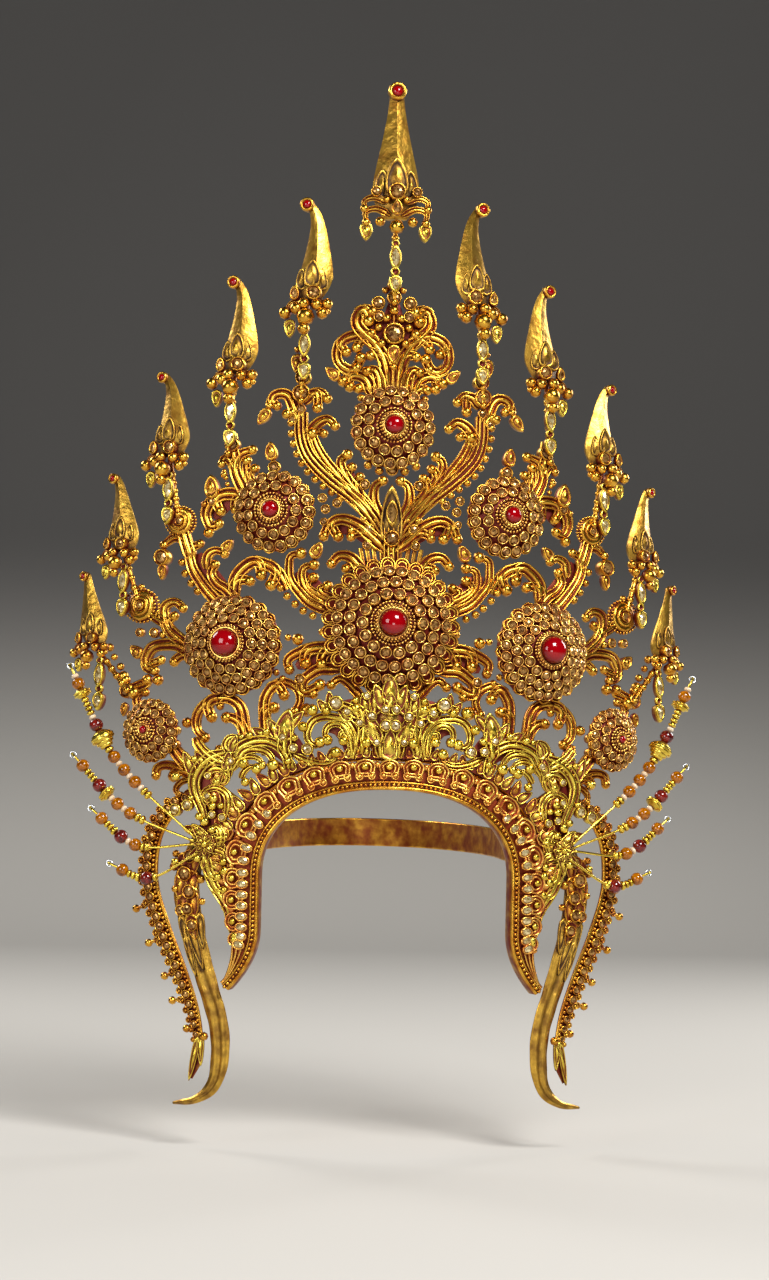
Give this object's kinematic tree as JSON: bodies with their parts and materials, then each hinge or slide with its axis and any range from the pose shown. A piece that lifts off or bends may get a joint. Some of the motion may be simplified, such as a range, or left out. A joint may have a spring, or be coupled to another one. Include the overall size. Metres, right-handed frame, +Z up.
{
  "type": "apsara crown",
  "caption": "Tall gilt openwork crown with stepped rosettes, flame spires, a petalled face rim, beaded ear wires and hanging ear leaves, worn round the head.",
  "frame": {"origin": "middle of the head opening at the height of the back band, where the crown sits on a head", "axes": "+Z up, -Y is the front of the crown, +X to the right as seen from the front"},
  "size_m": [0.4002, 0.2178, 0.6465],
  "materials": {
    "gilt": "antique gilt, polished on the high places",
    "bright_gilt": "bright yellow gilt",
    "setting_gilt": "champagne gilt settings with small clear stones",
    "ruby_glass": "polished red cabochon",
    "bead_glass": "polished amber, red and white beads with gilt spacers"
  },
  "bodies": {
    "root": {"back_band": "gilt", "bead_wire_left_1": "bead_glass", "bead_wire_left_2": "bead_glass", "bead_wire_left_3": "bead_glass", "bead_wire_left_4": "bead_glass", "bead_wire_right_1": "bead_glass", "bead_wire_right_2": "bead_glass", "bead_wire_right_3": "bead_glass", "bead_wire_right_4": "bead_glass", "crest": "bright_gilt", "ear_blade_left": "bright_gilt", "ear_blade_right": "bright_gilt", "ear_hub_left": "gilt", "ear_hub_right": "gilt", "ear_strand_left": "gilt", "ear_strand_right": "gilt", "face_rim": "gilt", "lattice": "gilt", "petal_band": "gilt", "rosette_centre": "setting_gilt", "rosette_high_left": "setting_gilt", "rosette_high_right": "setting_gilt", "rosette_low_left": "setting_gilt", "rosette_low_right": "setting_gilt", "rosette_side_left": "setting_gilt", "rosette_side_right": "setting_gilt", "rosette_upper": "setting_gilt", "ruby_centre": "ruby_glass", "ruby_high_left": "ruby_glass", "ruby_high_right": "ruby_glass", "ruby_low_left": "ruby_glass", "ruby_low_right": "ruby_glass", "ruby_side_left": "ruby_glass", "ruby_side_right": "ruby_glass", "ruby_upper": "ruby_glass", "spire_1_left": "gilt", "spire_1_right": "gilt", "spire_2_left": "gilt", "spire_2_right": "gilt", "spire_3_left": "gilt", "spire_3_right": "gilt", "spire_4_left": "gilt", "spire_4_right": "gilt", "spire_5_left": "gilt", "spire_5_right": "gilt", "spire_centre": "gilt", "spire_drop_1_left": "gilt", "spire_drop_1_right": "gilt", "spire_drop_2_left": "gilt", "spire_drop_2_right": "gilt", "spire_drop_3_left": "gilt", "spire_drop_3_right": "gilt", "spire_drop_4_left": "gilt", "spire_drop_4_right": "gilt", "spire_drop_5_left": "gilt", "spire_drop_5_right": "gilt", "spire_drop_centre": "gilt"}
  },
  "joints": []
}
